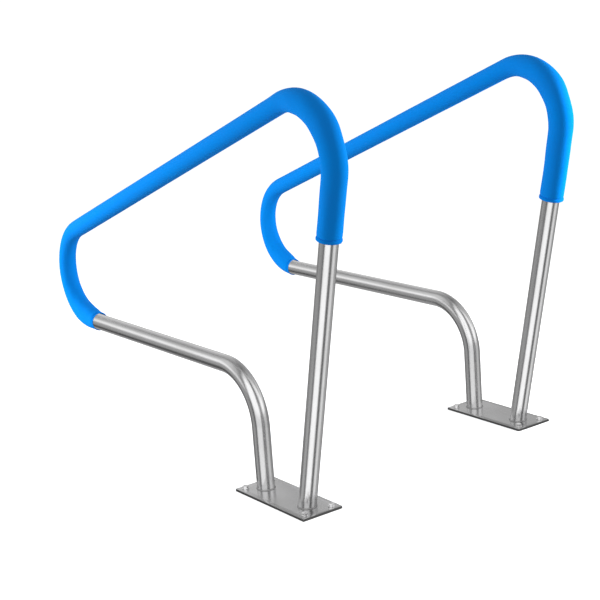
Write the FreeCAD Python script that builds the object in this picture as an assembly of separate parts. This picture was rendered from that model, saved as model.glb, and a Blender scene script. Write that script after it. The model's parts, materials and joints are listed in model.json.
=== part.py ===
"""Pair of deck-mounted pool handrails with zip-on grip covers.

Frame: millimetres, +Z up. The origin is the centre of the near rail's base plate, on its
underside, which is the deck surface. The rails reach towards the pool along -X and stand
side by side along +Y. Each rail is one bent tube that lies in an X-Z plane. A place on it is
given by its reach (towards the pool) and its height, or by the distance along the tube's
centreline from the foot of the tall leg.
"""

import FreeCAD
import Part
import math
import os
from collections import namedtuple

Vector = FreeCAD.Vector

# ---- Driving dimensions ----

# Bent tube
overall_height = 942.0  # deck to the top of the tube
overall_reach = 1021.0  # plate centre to the tube's far end, towards the pool
tube_diameter = 42.4
tube_wall = 2.0
bend_radius = 130.0  # to the centreline, the same die for all three bends
tall_leg_lean = 13.5  # degrees, away from the pool
tall_foot_reach = -76.0
short_leg_reach = 87.0
lower_arm_height = 286.0

# Base plate
plate_length = 270.0
plate_width = 110.0
plate_thickness = 6.0
plate_corner_radius = 2.0
plate_edge_chamfer = 0.5
hole_inset = 17.5  # from the plate's edges to a hole's centre
weld_leg = 3.5
weld_toe = 0.3  # left standing at the fillet's top

# Fasteners
screw_diameter = 8.0
screw_root_diameter = 5.8
screw_length = 60.0
screw_plain_length = 14.0
screw_tip_length = 8.0
thread_pitch = 3.4
crest_start_share = 0.35  # of the pitch, up from a thread's root
crest_end_share = 0.45
root_start_share = 0.8
head_across_flats = 13.0
head_height = 5.4
washer_diameter = 17.0
washer_thickness = 1.6
hole_clearance = 0.5  # round the screw in the plate
washer_clearance = 0.2  # round the screw in the washer

# Grip cover
cover_length = 1870.0  # along the centreline
cloth_thickness = 2.2
cover_gap = 0.3  # cloth to tube where the cover is snug
loose_gap = 4.6  # cloth to tube on the tall leg and the top bend
bend_gap = 2.0  # cloth to tube round the far bend and past it
loose_taper_length = 130.0
bend_taper_length = 70.0
cuff_length = 8.0
cuff_lip = 0.6  # the cuff stands this much over the cloth, outside and inside

# Zip, along the cover's +Y side
tape_edge = 9.0  # from the zip's middle to the tape's outer edge
tape_thickness = 0.9
tape_depth = 0.7  # below the cloth's outer face
coil_width = 2.4
coil_height = 2.1
coil_rise = 0.1  # above the cloth's outer face
coil_split = 1.0  # between the two rows of coils
zip_seam_gap = 0.15
stop_length = 4.0
slider_length = 12.0
slider_width = 9.4
slider_wing = 1.1
slider_corner_radius = 2.3
slider_clearance = 0.35
slider_lip = 1.0
slider_lip_length = 9.0
slider_neck_length = 2.6
slider_neck_width = 0.7
crown_width = 1.8
crown_span = 6.4
crown_bar = 0.8
pull_pin_diameter = 1.3
pull_pin_clearance = 0.35
pull_width = 7.0
pull_length = 32.0
pull_corner_radius = 2.3
pull_window_length = 8.0
pull_thickness = 1.2
pull_grip_length = 15.0
pull_grip_width = 4.9
pull_grip_inset = 1.8  # from the pull's lower end
pull_grip_rise = 0.7
pull_side_clearance = 0.4

# The pair: how the far rail stands from the near one, and where each cover starts
pair_spacing = 739.0
pair_stagger = 74.0  # the far rail is this much nearer the pool
near_cover_start = 648.0  # along the centreline from the tall leg's foot
far_cover_start = 611.0

# ---- Worked out from them ----

tube_radius = tube_diameter / 2
snug_radius = tube_radius + cover_gap + cloth_thickness
loose_radius = tube_radius + loose_gap + cloth_thickness
far_bend_radius = tube_radius + bend_gap + cloth_thickness
coil_edge = coil_split / 2 + coil_width
zip_axis = Vector(0, 1, 0)

Stretch = namedtuple("Stretch", "start length point heading centre turn")
Place = namedtuple("Place", "point along outward stretch")


# ---- The centreline, in (reach, height) ----


def turned(vector, angle):
    """A (reach, height) pair turned anticlockwise by an angle in radians."""
    cosine, sine = math.cos(angle), math.sin(angle)
    return (vector[0] * cosine - vector[1] * sine, vector[0] * sine + vector[1] * cosine)


def towards(point, heading, distance):
    """The place that lies a distance along a heading from a point."""
    return (point[0] + heading[0] * distance, point[1] + heading[1] * distance)


def run(stretches, length):
    """Adds a straight stretch."""
    last = stretches[-1]
    end, heading = stretch_end(last)
    stretches.append(Stretch(last.start + last.length, length, end, heading, None, 0.0))


def bend(stretches, turn):
    """Adds a bend. A positive turn, in radians, is to the left of the way along."""
    last = stretches[-1]
    end, heading = stretch_end(last)
    side = math.copysign(math.pi / 2, turn)
    centre = towards(end, turned(heading, side), bend_radius)
    length = bend_radius * abs(turn)
    stretches.append(Stretch(last.start + last.length, length, end, heading, centre, turn))


def stretch_place(stretch, distance):
    """The point and the heading at a distance along one stretch."""
    if stretch.centre is None:
        return towards(stretch.point, stretch.heading, distance), stretch.heading
    angle = stretch.turn * distance / stretch.length
    arm = (stretch.point[0] - stretch.centre[0], stretch.point[1] - stretch.centre[1])
    arm = turned(arm, angle)
    return towards(stretch.centre, arm, 1.0), turned(stretch.heading, angle)


def stretch_end(stretch):
    """The point and the heading where a stretch ends."""
    return stretch_place(stretch, stretch.length)


def rail_centreline():
    """The tall leg, top bend, diagonal, far bend, lower arm, short-leg bend and short leg."""
    lean = math.radians(tall_leg_lean)
    foot = (tall_foot_reach, plate_thickness)
    up = (-math.sin(lean), math.cos(lean))
    top_centre_height = overall_height - tube_radius - bend_radius
    rise = top_centre_height - foot[1] - bend_radius * math.sin(lean)
    leg_length = rise / math.cos(lean)
    leg_end = towards(foot, up, leg_length)
    top_centre = towards(leg_end, turned(up, -math.pi / 2), bend_radius)
    far_centre = (overall_reach - tube_radius - bend_radius, lower_arm_height + bend_radius)
    across = far_centre[0] - top_centre[0]
    down = top_centre[1] - far_centre[1]
    slope = math.atan2(down, across)
    stretches = [Stretch(0.0, leg_length, foot, up, None, 0.0)]
    bend(stretches, -(math.pi / 2 + lean + slope))
    run(stretches, math.hypot(across, down))
    bend(stretches, -(math.pi - slope))
    run(stretches, far_centre[0] - short_leg_reach - bend_radius)
    bend(stretches, math.pi / 2)
    run(stretches, lower_arm_height - bend_radius - plate_thickness)
    return stretches


centreline = rail_centreline()
tall_leg, top_bend, diagonal, far_bend, lower_arm, low_bend, short_leg = centreline


def solid_point(pair):
    """A (reach, height) pair as a point in the rail's own plane."""
    return Vector(-pair[0], 0, pair[1])


def place_at(distance):
    """The point, the way along and the way out of the loop at a distance from the foot."""
    stretch = max((s for s in centreline if s.start <= distance), key=lambda s: s.start)
    point, heading = stretch_place(stretch, distance - stretch.start)
    outward = turned(heading, math.pi / 2)
    return Place(solid_point(point), solid_point(heading), solid_point(outward), stretch)


# ---- Sweeping a section along the centreline ----


def polar(place, radius, angle):
    """A point round the tube's axis. Angle 0 is the zip's side, and it turns outwards."""
    arm = zip_axis * (radius * math.cos(angle)) + place.outward * (radius * math.sin(angle))
    return place.point + arm


def circle_wire(place, radius):
    """A full circle round the tube's axis."""
    return Part.Wire(Part.makeCircle(radius, place.point, place.along))


def band_wire(place, inner, outer, first, last):
    """A closed piece of a ring, between two radii and two angles."""
    middle = (first + last) / 2
    outer_arc = Part.Arc(*[polar(place, outer, a) for a in (first, middle, last)]).toShape()
    inner_arc = Part.Arc(*[polar(place, inner, a) for a in (last, middle, first)]).toShape()
    end_side = Part.makeLine(polar(place, outer, last), polar(place, inner, last))
    start_side = Part.makeLine(polar(place, inner, first), polar(place, outer, first))
    return Part.Wire([outer_arc, end_side, inner_arc, start_side])


def steady(radius):
    """A radius that is the same all along."""
    return [(0.0, radius), (centreline[-1].start + centreline[-1].length, radius)]


def radius_at(profile, distance):
    """The radius at a distance along, from a profile of (distance, radius) corners."""
    for (start, first), (end, last) in zip(profile, profile[1:]):
        if start <= distance <= end:
            return first + (last - first) * (distance - start) / (end - start)
    raise ValueError("the profile doesn't reach this distance")


def sweep(section, profile, start, end):
    """Sweeps section(place, radius), a closed wire, from one distance along to another."""
    edges = [s.start for s in centreline] + [corner[0] for corner in profile]
    cuts = sorted({start, end} | {e for e in edges if start < e < end})
    spans = []
    for low, high in zip(cuts, cuts[1:]):
        place = place_at(low + 1e-9)
        first = section(place_at(low + 1e-9), radius_at(profile, low))
        stretch = place.stretch
        if stretch.centre is not None:
            turn = math.degrees(stretch.turn * (high - low) / stretch.length)
            face = Part.Face(first)
            spans.append(face.revolve(solid_point(stretch.centre), Vector(0, 1, 0), turn))
        elif math.isclose(radius_at(profile, low), radius_at(profile, high)):
            spans.append(Part.Face(first).extrude(place.along * (high - low)))
        else:
            last = section(place_at(high - 1e-9), radius_at(profile, high))
            spans.append(Part.makeLoft([first, last], True, True))
    whole = spans[0]
    if len(spans) > 1:
        whole = spans[0].multiFuse(spans[1:]).removeSplitter()
    return only_solid(whole)


def only_solid(shape):
    """The one solid of a result. More or fewer is a fault in the model."""
    if len(shape.Solids) != 1:
        raise ValueError(f"expected one solid, found {len(shape.Solids)}")
    solid = shape.Solids[0]
    if solid.Volume < 0:
        solid.reverse()
    return solid


# ---- The rail ----


def tube_solid(radius, below=0.0):
    """The centreline's full length as a rod, its feet run on past the plate's top and cut."""
    rod = sweep(circle_wire, steady(radius), 0.0, short_leg.start + short_leg.length)
    foot = place_at(0.0)
    stub = Part.makeCylinder(radius, tube_diameter, foot.point, -foot.along)
    rod = rod.fuse(stub)
    reach = overall_reach + overall_height
    slab = Part.makeBox(2 * reach, 2 * reach, reach)
    slab.translate(Vector(-reach, -reach, plate_thickness - reach - below))
    return only_solid(rod.cut(slab).removeSplitter())


def rail_tube():
    """The bent tube with its bore, open at both feet."""
    bore = tube_solid(tube_radius - tube_wall, below=1.0)
    return only_solid(tube_solid(tube_radius).cut(bore))


def weld(place):
    """A fillet round a leg's foot, as wide on the plate as it is high, however the leg leans."""
    upright = place.along.z
    stations = ((weld_leg, 0.0), (weld_toe, weld_leg))
    rings = []
    for proud, height in stations:
        centre = place.point + place.along * (height / upright)
        radius = tube_radius + proud
        far_side = centre + Vector(radius / upright, 0, 0)
        near_side = centre + Vector(0, radius, 0)
        rings.append(Part.Wire(Part.Ellipse(far_side, near_side, centre).toShape()))
    through = 2 * tube_diameter
    leg = Part.makeCylinder(tube_radius, 2 * through, place.point - place.along * through, place.along)
    return only_solid(Part.makeLoft(rings, True, True).cut(leg))


def short_leg_foot():
    """The short leg's foot, with its axis pointing up."""
    foot = place_at(short_leg.start + short_leg.length)
    return Place(foot.point, -foot.along, foot.outward, foot.stretch)


def hole_places():
    """The centres of the plate's four holes, at deck level."""
    along = plate_length / 2 - hole_inset
    across = plate_width / 2 - hole_inset
    return [Vector(x, y, 0) for x in (-along, along) for y in (-across, across)]


def base_plate():
    """The plate with rounded corners, an eased top edge and its four screw holes."""
    plate = Part.makeBox(plate_length, plate_width, plate_thickness)
    plate.translate(Vector(-plate_length / 2, -plate_width / 2, 0))
    upright = [e for e in plate.Edges if abs(e.tangentAt(e.FirstParameter).z) > 0.5]
    plate = plate.makeFillet(plate_corner_radius, upright)
    top = [e for e in plate.Edges if e.BoundBox.ZMin > plate_thickness - 1e-6]
    plate = plate.makeChamfer(plate_edge_chamfer, top)
    radius = screw_diameter / 2 + hole_clearance
    for place in hole_places():
        plate = plate.cut(Part.makeCylinder(radius, plate_thickness, place))
    return only_solid(plate)


# ---- Fasteners, made at the origin with z = 0 at the deck ----


def turned_solid(outline):
    """A solid of revolution about Z from (radius, height) corners."""
    corners = [Vector(radius, 0, height) for radius, height in outline]
    face = Part.Face(Part.makePolygon(corners + corners[:1]))
    return only_solid(face.revolve(Vector(0, 0, 0), Vector(0, 0, 1), 360))


def screw_outline():
    """The shank, its thread as rings, and the point."""
    seat = plate_thickness + washer_thickness
    radius = screw_diameter / 2
    root = screw_root_diameter / 2
    tip = seat - screw_length
    outline = [(0, tip), (root, tip + screw_tip_length)]
    height = tip + screw_tip_length
    last = seat - screw_plain_length - thread_pitch
    while height <= last:
        outline.append((radius, height + thread_pitch * crest_start_share))
        outline.append((radius, height + thread_pitch * crest_end_share))
        outline.append((root, height + thread_pitch * root_start_share))
        outline.append((root, height + thread_pitch))
        height += thread_pitch
    outline += [(radius, height + radius - root), (radius, seat), (0, seat)]
    return outline


def deck_screw():
    """A hex-headed screw that sits on its washer, the head's upper corners rounded off."""
    seat = plate_thickness + washer_thickness
    corner_radius = head_across_flats / 2 / math.cos(math.pi / 6)
    corners = []
    for step in range(7):
        angle = step * math.pi / 3
        corners.append(Vector(corner_radius * math.cos(angle), corner_radius * math.sin(angle), seat))
    head = Part.Face(Part.makePolygon(corners)).extrude(Vector(0, 0, head_height))
    rounding = corner_radius - head_across_flats / 2
    bevel = turned_solid(
        [
            (0, seat),
            (corner_radius, seat),
            (corner_radius, seat + head_height - rounding),
            (head_across_flats / 2 - rounding, seat + head_height),
            (0, seat + head_height),
        ]
    )
    return only_solid(turned_solid(screw_outline()).fuse(head.common(bevel)).removeSplitter())


def washer():
    """A flat washer on the plate."""
    disc = Part.makeCylinder(washer_diameter / 2, washer_thickness, Vector(0, 0, plate_thickness))
    bore_radius = screw_diameter / 2 + washer_clearance
    return disc.cut(Part.makeCylinder(bore_radius, plate_thickness + washer_thickness))


def at_holes(piece):
    """A group of four, one at each hole of the plate."""
    copies = []
    for place in hole_places():
        copy = piece.copy()
        copy.translate(place)
        copies.append(copy)
    return Part.makeCompound(copies)


# ---- Grip cover and its zip ----


def cover_profile():
    """The cloth's outer radius along the centreline: loose, snug, then a little loose again."""
    taper_end = diagonal.start + loose_taper_length
    swell_start = far_bend.start - bend_taper_length
    end = short_leg.start + short_leg.length
    return [
        (0.0, loose_radius),
        (diagonal.start, loose_radius),
        (taper_end, snug_radius),
        (swell_start, snug_radius),
        (far_bend.start, far_bend_radius),
        (end, far_bend_radius),
    ]


def band(depth_in, depth_out, start_width, end_width):
    """A section function: part of a ring, with its depths and widths taken from the outer face."""

    def section(place, radius):
        first, last = start_width / radius, end_width / radius
        return band_wire(place, radius - depth_in, radius - depth_out, first, last)

    return section


def cloth_section(place, radius):
    """The cloth's ring, open between the two tapes' outer edges."""
    edge = (tape_edge + zip_seam_gap) / radius
    return band_wire(place, radius - cloth_thickness, radius, edge, 2 * math.pi - edge)


def cuff(start, end):
    """A folded band of cloth that finishes one end of the cover."""
    profile = cover_profile()

    def outside(place, radius):
        return circle_wire(place, radius + cuff_lip)

    def inside(place, radius):
        return circle_wire(place, radius - cloth_thickness)

    return only_solid(sweep(outside, profile, start, end).cut(sweep(inside, profile, start, end)))


def zip_pair(section_for, start, end):
    """The same strip on both sides of the zip's middle."""
    profile = cover_profile()
    return Part.makeCompound([sweep(section_for(side), profile, start, end) for side in (1, -1)])


def zip_tape(side):
    """One tape's section, from its coil to the cloth's edge."""
    edges = sorted((side * (coil_edge + zip_seam_gap), side * tape_edge))
    return band(tape_depth + tape_thickness, tape_depth, *edges)


def zip_coil(side):
    """One row of coils as a solid strip."""
    edges = sorted((side * coil_split / 2, side * coil_edge))
    return band(coil_height - coil_rise, -coil_rise, *edges)


def zip_stops(start, end):
    """A block at each end of the chain, as wide as both rows of coils."""
    section = band(coil_height - coil_rise, -coil_rise, -coil_edge, coil_edge)
    profile = cover_profile()
    first = sweep(section, profile, start, start + stop_length)
    last = sweep(section, profile, end - stop_length, end)
    return Part.makeCompound([first, last])


# The slider and its pull are drawn upright with the zip's face towards +Y, so that X is
# across the zip, Y is out of the cloth from its outer face, and Z is up the leg.


def block(across, out_low, out_high, low, high):
    """A box centred on the zip, by its width, its depths and its heights."""
    box = Part.makeBox(across, out_high - out_low, high - low)
    box.translate(Vector(-across / 2, out_low, low))
    return box


slider_face = coil_rise + slider_clearance + slider_wing
pin_out = slider_face + pull_pin_clearance + pull_pin_diameter / 2
crown_inside = pin_out + pull_pin_diameter / 2 + pull_pin_clearance


def rounded(box, radius, low_only=False):
    """A box with the edges that run out of the cloth rounded, or only its two lowest ones."""
    edges = [e for e in box.Edges if abs(e.tangentAt(e.FirstParameter).y) > 0.5]
    if low_only:
        edges = [e for e in edges if e.BoundBox.ZMax < box.BoundBox.Center.z]
    return box.makeFillet(radius, edges)


def slider_crown():
    """The bar over the slider that holds the pull's pin."""
    inside = crown_span / 2
    outside = inside + crown_bar
    bar = block(crown_width, slider_face, crown_inside + crown_bar, -outside, outside)
    return bar.cut(block(crown_width, slider_face, crown_inside, -inside, inside))


def slider_lips():
    """The outer wing's two edges, turned in towards the tapes."""
    half = slider_length / 2
    lip_half = slider_lip_length / 2
    lips = block(slider_width, slider_clearance - tape_depth, slider_face, -lip_half, lip_half)
    return lips.cut(block(slider_width - 2 * slider_lip, -tape_depth, slider_face, -half, half))


def zip_slider():
    """Two wings joined by a neck that runs between the coils, and a crown that holds the pull."""
    half = slider_length / 2
    outer_low = coil_rise + slider_clearance
    inner_high = coil_rise - coil_height - slider_clearance
    inner_low = inner_high - slider_wing
    outer_wing = rounded(block(slider_width, outer_low, slider_face, -half, half), slider_corner_radius)
    inner_wing = rounded(block(slider_width, inner_low, inner_high, -half, half), slider_corner_radius)
    neck = block(slider_neck_width, inner_low, slider_face, -half, slider_neck_length - half)
    pieces = [inner_wing, neck, slider_lips(), slider_crown()]
    return only_solid(outer_wing.multiFuse(pieces).removeSplitter())


def zip_pull():
    """A tab that hangs from a pin under the crown, thicker on its outer face at the grip."""
    half_thick = pull_thickness / 2
    tab = block(pull_width, pin_out - half_thick, pin_out + half_thick, -pull_length, 0)
    tab = rounded(tab, pull_corner_radius, low_only=True)
    grip_low = pull_grip_inset - pull_length
    grip_face = pin_out + half_thick + pull_grip_rise
    grip = block(pull_grip_width, pin_out, grip_face, grip_low, grip_low + pull_grip_length)
    window_width = crown_width + 2 * pull_side_clearance
    window = block(window_width, 0, grip_face, -pull_window_length, pull_pin_diameter)
    pin_start = Vector(-pull_width / 2, pin_out, 0)
    pin = Part.makeCylinder(pull_pin_diameter / 2, pull_width, pin_start, Vector(1, 0, 0))
    return only_solid(tab.fuse(grip).cut(window).fuse(pin).removeSplitter())


def on_the_zip(piece, distance):
    """Moves a slider piece from its own upright frame onto the zip at a distance along."""
    place = place_at(distance)
    corner = place.point + zip_axis * radius_at(cover_profile(), distance)
    across = zip_axis.cross(place.along)
    matrix = FreeCAD.Matrix(
        across.x, zip_axis.x, place.along.x, corner.x,
        across.y, zip_axis.y, place.along.y, corner.y,
        across.z, zip_axis.z, place.along.z, corner.z,
        0, 0, 0, 1,
    )  # fmt: skip
    piece.Placement = FreeCAD.Placement(matrix)
    return piece


def grip_cover(start):
    """Every piece of one cover, by name, from where its first cuff starts."""
    end = start + cover_length
    cloth_start = start + cuff_length
    cloth_end = end - cuff_length
    profile = cover_profile()
    chain = (cloth_start + stop_length + zip_seam_gap, cloth_end - stop_length - zip_seam_gap)
    slider_place = chain[0] + slider_length / 2 + slider_clearance
    return {
        "grip_cover": sweep(cloth_section, profile, cloth_start, cloth_end),
        "tall_leg_cuff": cuff(start, cloth_start),
        "far_bend_cuff": cuff(cloth_end, end),
        "zip_tapes": zip_pair(zip_tape, cloth_start, cloth_end),
        "zip_coils": zip_pair(zip_coil, *chain),
        "zip_stops": zip_stops(cloth_start, cloth_end),
        "zip_slider": on_the_zip(zip_slider(), slider_place),
        "zip_pull": on_the_zip(zip_pull(), slider_place),
    }


def rail(cover_start):
    """Every piece of one handrail, by name."""
    pieces = {
        "rail_tube": rail_tube(),
        "base_plate": base_plate(),
        "tall_leg_weld": weld(place_at(0.0)),
        "short_leg_weld": weld(short_leg_foot()),
        "deck_screws": at_holes(deck_screw()),
        "washers": at_holes(washer()),
    }
    pieces.update(grip_cover(cover_start))
    return pieces


def write_rail(name, pieces, offset):
    """Writes one rail's pieces, moved to where that rail stands."""
    for piece_name, shape in pieces.items():
        shape.translate(offset)
        shape.exportStep(f"parts/{name}_{piece_name}.step")


os.makedirs("parts", exist_ok=True)
write_rail("near", rail(near_cover_start), Vector(0, 0, 0))
write_rail("far", rail(far_cover_start), Vector(-pair_stagger, pair_spacing, 0))
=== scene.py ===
"""Visual model of a pair of deck-mounted pool handrails with zip-on grip covers.

Metres, +Z up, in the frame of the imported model: the origin is the centre of the near rail's
base plate on the deck. The rails reach towards the pool along -X. Each rail is one bent tube
in an X-Z plane. Strips of tube wall, cloth, tape and coil are drawn flat, with X along the
rail, Y round it and Z out of it, and then rolled round the tube's centreline, so that their
UV maps keep the flat layout in metres.
"""

import json
import logging
import math
import random
from collections.abc import Callable, Sequence
from dataclasses import dataclass, field
from enum import Enum

import bpy
from mathutils import Matrix, Vector


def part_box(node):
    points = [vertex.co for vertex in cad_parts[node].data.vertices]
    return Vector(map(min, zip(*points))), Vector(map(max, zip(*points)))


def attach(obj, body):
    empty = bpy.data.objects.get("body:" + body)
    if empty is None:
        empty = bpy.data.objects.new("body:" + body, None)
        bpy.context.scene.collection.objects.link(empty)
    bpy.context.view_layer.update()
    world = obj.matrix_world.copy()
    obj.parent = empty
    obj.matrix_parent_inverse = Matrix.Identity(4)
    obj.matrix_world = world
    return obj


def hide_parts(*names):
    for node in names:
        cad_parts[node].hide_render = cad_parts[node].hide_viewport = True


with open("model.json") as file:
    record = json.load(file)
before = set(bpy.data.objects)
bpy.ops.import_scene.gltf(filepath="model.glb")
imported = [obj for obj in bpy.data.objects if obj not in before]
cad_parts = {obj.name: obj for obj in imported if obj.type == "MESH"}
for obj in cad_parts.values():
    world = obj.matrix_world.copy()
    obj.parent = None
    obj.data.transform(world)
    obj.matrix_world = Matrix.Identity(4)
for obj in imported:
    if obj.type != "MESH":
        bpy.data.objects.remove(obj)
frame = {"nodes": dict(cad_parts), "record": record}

log = logging.getLogger("handrails")

MM = 0.001
TINY = 1e-6
FULL_TURN = 2 * math.pi

Piece = bpy.types.Object
Material = bpy.types.Material
Node = bpy.types.Node
Socket = bpy.types.NodeSocket


class Body(Enum):
    """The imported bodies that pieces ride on."""

    ROOT = "handrails"
    SLIDER = "zip_slider"
    PULL = "zip_pull"


class Slot(Enum):
    """The record's material slots."""

    RAIL = "rail_steel"
    PLATE = "plate_steel"
    WELD = "weld_steel"
    FASTENER = "fastener_steel"
    COVER = "cover_cloth"
    CUFF = "cuff_cloth"
    TAPE = "zip_tape_cloth"
    COIL = "zip_nylon"
    ZIP_METAL = "zip_metal"


# ---- Work on one mesh piece at a time ----


def select_only(piece: Piece) -> None:
    """Leaves one object selected and active."""
    bpy.ops.object.select_all(action="DESELECT")
    piece.select_set(True)
    bpy.context.view_layer.objects.active = piece


def named(name: str) -> Piece:
    """Names the object that an operator has just added.

    Args:
        name: the piece's name.

    Returns:
        The object, with its place moved into its mesh.
    """
    piece = bpy.context.active_object
    piece.name = piece.data.name = name
    select_only(piece)
    bpy.ops.object.transform_apply(location=True, rotation=True, scale=True)
    return piece


def added(name: str, primitive: Callable[..., object], **settings: object) -> Piece:
    """Adds a primitive with nothing else selected.

    Args:
        name: the piece's name.
        primitive: the operator that adds it.
        settings: the operator's settings.

    Returns:
        The named object.
    """
    bpy.ops.object.select_all(action="DESELECT")
    primitive(**settings)
    return named(name)


def apply_modifier(piece: Piece, kind: str, **settings: object) -> None:
    """Adds a modifier with its settings and applies it."""
    select_only(piece)
    modifier = piece.modifiers.new(kind.title(), kind)
    for key, value in settings.items():
        setattr(modifier, key, value)
    bpy.ops.object.modifier_apply(modifier=modifier.name)


def edit(piece: Piece, *steps: Callable[[], object]) -> None:
    """Runs edit-mode steps on a piece with all of its mesh selected first."""
    select_only(piece)
    bpy.ops.object.mode_set(mode="EDIT")
    bpy.ops.mesh.select_all(action="SELECT")
    for step in steps:
        step()
    bpy.ops.object.mode_set(mode="OBJECT")


def pick(piece: Piece, kind: str, wanted: Callable[[object], bool]) -> None:
    """Selects vertices, edges or faces in code, for the next edit-mode step.

    Args:
        piece: the object, in edit mode.
        kind: VERT, EDGE or FACE.
        wanted: says whether one of them is selected.
    """
    bpy.ops.mesh.select_mode(type=kind)
    bpy.ops.mesh.select_all(action="DESELECT")
    bpy.ops.object.mode_set(mode="OBJECT")
    parts = {"VERT": piece.data.vertices, "EDGE": piece.data.edges, "FACE": piece.data.polygons}
    for part in parts[kind]:
        part.select = wanted(part)
    bpy.ops.object.mode_set(mode="EDIT")


def edge_middle(piece: Piece, edge: bpy.types.MeshEdge) -> Vector:
    """The middle of a mesh edge."""
    first, last = (piece.data.vertices[i].co for i in edge.vertices)
    return (first + last) / 2


def is_upright(piece: Piece, edge: bpy.types.MeshEdge) -> bool:
    """Whether an edge runs straight up."""
    first, last = (piece.data.vertices[i].co for i in edge.vertices)
    return (first.xy - last.xy).length < TINY


def merge(piece: Piece, distance: float = 1e-5) -> None:
    """Merges vertices that lie together and turns every face outwards."""
    edit(
        piece,
        lambda: bpy.ops.mesh.remove_doubles(threshold=distance),
        lambda: bpy.ops.mesh.normals_make_consistent(inside=False),
    )


def smooth(piece: Piece, degrees: float = 40.0) -> None:
    """Shades a piece smooth but for its sharp edges."""
    select_only(piece)
    bpy.ops.object.shade_smooth_by_angle(angle=math.radians(degrees))


def join(name: str, pieces: Sequence[Piece]) -> Piece:
    """Joins several objects into the first and names it."""
    select_only(pieces[0])
    for piece in pieces:
        piece.select_set(True)
    bpy.ops.object.join()
    return named(name)


def copied(piece: Piece, name: str) -> Piece:
    """A copy with its own mesh."""
    twin = bpy.data.objects.new(name, piece.data.copy())
    bpy.context.collection.objects.link(twin)
    return twin


def dress(
    piece: Piece,
    material: Material,
    slot: Slot,
    body: str,
    *nodes: str,
) -> Piece:
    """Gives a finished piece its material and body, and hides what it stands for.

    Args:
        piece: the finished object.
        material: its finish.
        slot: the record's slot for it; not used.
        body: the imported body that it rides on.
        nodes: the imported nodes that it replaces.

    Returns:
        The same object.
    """
    piece.data.materials.clear()
    piece.data.materials.append(material)
    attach(piece, body)
    if nodes:
        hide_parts(*nodes)
    log.info("%s: %d faces on %s", piece.name, len(piece.data.polygons), body)
    return piece


# ---- Shader node groups and finishes ----


class Graph:
    """A small builder for shader nodes in a material or a group."""

    def __init__(self, tree: bpy.types.NodeTree) -> None:
        """Keeps the tree that nodes are added to."""
        self.tree = tree

    def node(self, kind: str, **settings: object) -> Node:
        """Adds a node with its settings."""
        node = self.tree.nodes.new(kind)
        for key, value in settings.items():
            setattr(node, key, value)
        return node

    def link(self, source: Socket, target: Socket) -> None:
        """Links an output to an input."""
        self.tree.links.new(source, target)

    def feed(self, socket: Socket, value: object) -> None:
        """Links or sets an input."""
        if isinstance(value, Socket):
            self.link(value, socket)
        else:
            socket.default_value = value

    def maths(self, operation: str, *values: object) -> Socket:
        """A Math node's result for numbers or sockets."""
        node = self.node("ShaderNodeMath", operation=operation)
        for socket, value in zip(node.inputs, values):
            self.feed(socket, value)
        return node.outputs[0]

    def noise(self, vector: object, scale: object, detail: float = 2.0) -> Socket:
        """A Noise Texture's value."""
        node = self.node("ShaderNodeTexNoise")
        self.feed(node.inputs["Vector"], vector)
        self.feed(node.inputs["Scale"], scale)
        node.inputs["Detail"].default_value = detail
        return node.outputs["Fac"]

    def span(self, value: object, low: object, high: object) -> Socket:
        """A 0 to 1 value brought to a span, for noise that mostly lies between 0.3 and 0.7."""
        node = self.node("ShaderNodeMapRange")
        self.feed(node.inputs["Value"], value)
        node.inputs["From Min"].default_value = 0.3
        node.inputs["From Max"].default_value = 0.7
        self.feed(node.inputs["To Min"], low)
        self.feed(node.inputs["To Max"], high)
        return node.outputs["Result"]

    def blend(self, factor: object, first: object, second: object) -> Socket:
        """A colour between two."""
        node = self.node("ShaderNodeMix", data_type="RGBA")
        self.feed(node.inputs["Factor"], factor)
        self.feed(node.inputs["A"], first)
        self.feed(node.inputs["B"], second)
        return node.outputs["Result"]


def new_group(
    name: str, inputs: dict[str, object], outputs: Sequence[str]
) -> tuple[Graph, Node, Node]:
    """Starts a shader node group.

    Args:
        name: the group's name.
        inputs: each input's name and default; a tuple of three makes a vector.
        outputs: the names of its number outputs.

    Returns:
        A builder for its tree, its input node and its output node.
    """
    tree = bpy.data.node_groups.new(name, "ShaderNodeTree")
    for key, value in inputs.items():
        kind = "NodeSocketVector" if isinstance(value, tuple) else "NodeSocketFloat"
        socket = tree.interface.new_socket(key, in_out="INPUT", socket_type=kind)
        socket.default_value = value
    for key in outputs:
        tree.interface.new_socket(key, in_out="OUTPUT", socket_type="NodeSocketFloat")
    graph = Graph(tree)
    return graph, graph.node("NodeGroupInput"), graph.node("NodeGroupOutput")


def polish_group() -> bpy.types.NodeTree:
    """Fine polishing lines that run along one axis, and broad smudges over them."""
    inputs = {"Place": (0.0, 0.0, 0.0), "Lines": (1.0, 1.0, 1.0), "Smudge Scale": 9.0}
    graph, given, result = new_group("polish", inputs, ("Lines", "Smudges", "Scratches"))
    place = given.outputs["Place"]
    along = graph.node("ShaderNodeVectorMath", operation="MULTIPLY")
    graph.link(place, along.inputs[0])
    graph.link(given.outputs["Lines"], along.inputs[1])
    lines = graph.noise(along.outputs[0], 1.0, detail=4.0)
    smudges = graph.noise(place, given.outputs["Smudge Scale"], detail=3.0)
    scratch = graph.noise(along.outputs[0], 0.31, detail=1.0)
    graph.link(lines, result.inputs["Lines"])
    graph.link(smudges, result.inputs["Smudges"])
    graph.link(graph.maths("GREATER_THAN", scratch, 0.74), result.inputs["Scratches"])
    return graph.tree


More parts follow.
